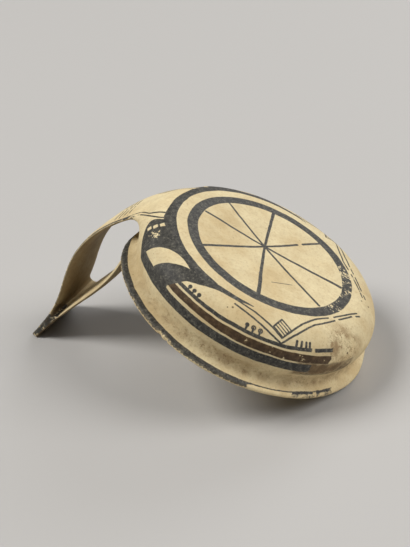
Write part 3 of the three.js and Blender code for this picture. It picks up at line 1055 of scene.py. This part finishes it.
class Neighbours:
    """Averages of values over the vertices that share an edge"""

    def __init__(self, mesh):
        edges = np.empty(len(mesh.edges) * 2, int)
        mesh.edges.foreach_get("vertices", edges)
        self.first, self.second = edges.reshape(-1, 2).T
        self.count = len(mesh.vertices)
        self.degree = np.maximum(np.bincount(edges, minlength=self.count), 1)

    def mean(self, values):
        columns = values.reshape(self.count, -1)
        result = np.empty_like(columns)
        for i in range(columns.shape[1]):
            column = columns[:, i]
            total = np.bincount(self.first, column[self.second], self.count)
            total += np.bincount(self.second, column[self.first], self.count)
            result[:, i] = total / self.degree
        return result.reshape(values.shape)


def rise(values, start, width):
    """0 up to the start, 1 from a width past it on, and even between them"""
    return np.clip((values - start) / width, 0, 1)


def relax(near, points, rounds, step):
    """Moves each point towards the middle of its neighbours, by its step"""
    for _ in range(rounds):
        points += (near.mean(points) - points) * step


def bending(near, points, normals, rounds):
    """How far the surface stands out over its surroundings, in millimetres"""
    around = points
    for _ in range(rounds):
        around = near.mean(around)
    return ((points - around) * normals).sum(1) / MM


def even_strap_sides(own, share):
    """Takes the small waves off the straps' sides, which follow the steps of the mesh"""
    along, off = place_on(strap_profile(), own[:, [0, 2]])
    marks = np.arange(int(along.max()) + 2)
    reach = np.exp(-(((marks[:, None] - marks[None]) / SIDE_EVENING) ** 2))
    for strap in (off < STRAP_SPLIT, off >= STRAP_SPLIT):
        for side in (-1, 1):
            chosen = strap & (own[:, 1] * side > SIDE_START) & (share > 0)
            width = np.zeros(len(marks))
            np.maximum.at(width, along[chosen].astype(int), own[chosen, 1] * side)
            present = (width > 0).astype(float)
            even = reach @ width / np.maximum(reach @ present, 1e-9)
            change = np.where(present > 0, even - width, 0)
            own[chosen, 1] += side * np.interp(along[chosen], marks + 0.5, change) * share[chosen]
    return own


def smooth_surface(mesh, near, cup):
    """Takes the steps and facets off, but keeps the thin edges of the lip and straps"""
    points = read_vectors(mesh, "co")
    relax(near, points, FIRST_ROUNDS, FIRST_STEP)
    write_points(mesh, points)
    sharp = bending(near, points, read_vectors(mesh, "normal"), 3)
    weight = 1 - rise(sharp, 0, EDGE_KEPT)
    for _ in range(3):
        weight = np.minimum(weight, near.mean(weight))

    # The straps' thin sides, down to the tongue, are rounded off evenly
    own = cup.own(points)
    beyond_bowl = np.maximum(rise(-own[:, 2], 2, 2), rise(-own[:, 0], LIP_RADIUS + 2, 2))
    far_out = rise(np.abs(own[:, 1]), SIDE_START, 2)
    strap_side = beyond_bowl * far_out * rise(own[:, 2], TONGUE_TOP, 4)
    weight += (STRAP_SIDE_WEIGHT - weight) * strap_side
    relax(near, points, SMOOTH_ROUNDS, SMOOTH_STEP * weight[:, None])
    points = cup.world(even_strap_sides(cup.own(points), strap_side))

    # The strap's root is drawn out thin at its two sides: the clay there is rounded off
    own = cup.own(points)
    beside_root = rise(np.abs(own[:, 1]), 17, 3) * rise(own[:, 2], 9, 3)
    beside_root *= rise(-own[:, 0], 50, 2)
    relax(near, points, ROOT_ROUNDS, SMOOTH_STEP * beside_root[:, None])
    write_points(mesh, points)


def wave(points, length, seed):
    offset = Vector((seed * 17.3, seed * 5.1, seed * 9.7))
    return np.array([noise.noise(Vector(p) / length + offset) for p in points])


def lip_chips(own):
    """1 in the middle of each chip along the lip, 0 away from them"""
    radius = np.hypot(own[:, 0], own[:, 1])
    on_lip = rise(radius, LIP_RADIUS - 2.6, 1.2) * rise(own[:, 2], -2.5, 0.5)
    bearing = np.degrees(np.arctan2(own[:, 1], own[:, 0]))
    ragged = wave(own, 1.7, CHIP_SEED) * CHIP_RAGGEDNESS
    result = np.zeros(len(own))
    for middle, spread in LIP_CHIPS:
        away = np.abs(bearing - middle) / spread + ragged
        result = np.maximum(result, np.clip(1.35 - away, 0, 1) * on_lip)
    return result


def press_hand_marks(mesh, cup):
    """The slight unevenness of a surface shaped by hand"""
    points = read_vectors(mesh, "co")
    own = cup.own(points)
    normals = read_vectors(mesh, "normal")
    off_ground = rise(points[:, 2], 0, 4 * MM)
    hand = wave(own, HAND_WAVE_LENGTH, HAND_SEED) * HAND_WAVE - HAND_WAVE_SINK
    tool = wave(own * (1, 1, 1.6), TOOL_WAVE_LENGTH, TOOL_SEED) * TOOL_WAVE
    outward = (hand + tool) * off_ground - lip_chips(own) * CHIP_DEPTH
    points += normals * (outward * MM)[:, None]
    write_points(mesh, points)


def write_attribute(mesh, name, kind, values):
    layer = mesh.attributes.new(name, kind, "POINT")
    field = {"FLOAT_COLOR": "color", "FLOAT_VECTOR": "vector", "FLOAT": "value"}[kind]
    layer.data.foreach_set(field, values.astype(np.float32).ravel())


def chart_surface(mesh, near, cup):
    """Writes where each vertex lies on the bowl and on the strap, for the paint"""
    points = read_vectors(mesh, "co")
    own = cup.own(points)
    radius = np.hypot(own[:, 0], own[:, 1])
    along, off = place_on(bowl_profile(), np.c_[radius, own[:, 2]])
    turn = np.arctan2(own[:, 1], own[:, 0])
    bowl = np.c_[along * np.cos(turn), along * np.sin(turn), off]
    middle_line = strap_profile()
    strap_along, strap_off = place_on(middle_line, own[:, [0, 2]])
    strap = np.c_[own[:, 1], strap_along, strap_off]
    run = np.gradient(middle_line, axis=0)
    run /= np.hypot(run[:, 0], run[:, 1])[:, None]
    walked = np.r_[0, np.cumsum(np.hypot(*np.diff(middle_line, axis=0).T))]
    run_x, run_z = (np.interp(strap_along, walked, run[:, i]) for i in range(2))
    normals = read_vectors(mesh, "normal")
    own_normals = normals @ cup.turn.T
    facing = own_normals[:, 0] * run_z - own_normals[:, 2] * run_x

    outside_bowl = rise(off, 1.2, 0.8)
    below_lip = rise(-own[:, 2], 0.6, 0.8)
    beyond_lip = rise(radius, LIP_RADIUS + 0.5, 0.8)
    near_strap = (own[:, 0] < -ROOT_RADIUS) & (np.abs(own[:, 1]) < STRAP_HALF_WIDTH + 8)
    handle = np.maximum.reduce([outside_bowl, below_lip, beyond_lip]) * near_strap
    inside = rise(-off, 2.0, 0.8) * (1 - handle)
    sharp = bending(near, points, normals, 5)
    edge = rise(sharp, 0, 0.5) + lip_chips(own)
    # Concave creases, where painted shade is laid
    hollow = rise(-sharp, 0, 0.4)
    for _ in range(2):
        hollow = near.mean(hollow)
    write_attribute(mesh, "bowl_chart", "FLOAT_VECTOR", bowl)
    write_attribute(mesh, "strap_chart", "FLOAT_VECTOR", strap)
    write_attribute(mesh, "strap_facing", "FLOAT", facing)
    write_attribute(mesh, "regions", "FLOAT_COLOR", np.c_[handle, inside, edge, hollow])


def make_kyathos():
    cup = CupFrame()
    piece = fine_mesh()
    mesh = piece.data
    near = Neighbours(mesh)
    smooth_surface(mesh, near, cup)
    press_hand_marks(mesh, cup)
    chart_surface(mesh, near, cup)
    for polygon in mesh.polygons:
        polygon.use_smooth = True
    mesh.materials.append(make_painted_clay())
    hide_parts("cup_and_handle")
    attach(piece, "root")


add_camera()
add_stage()
make_kyathos()
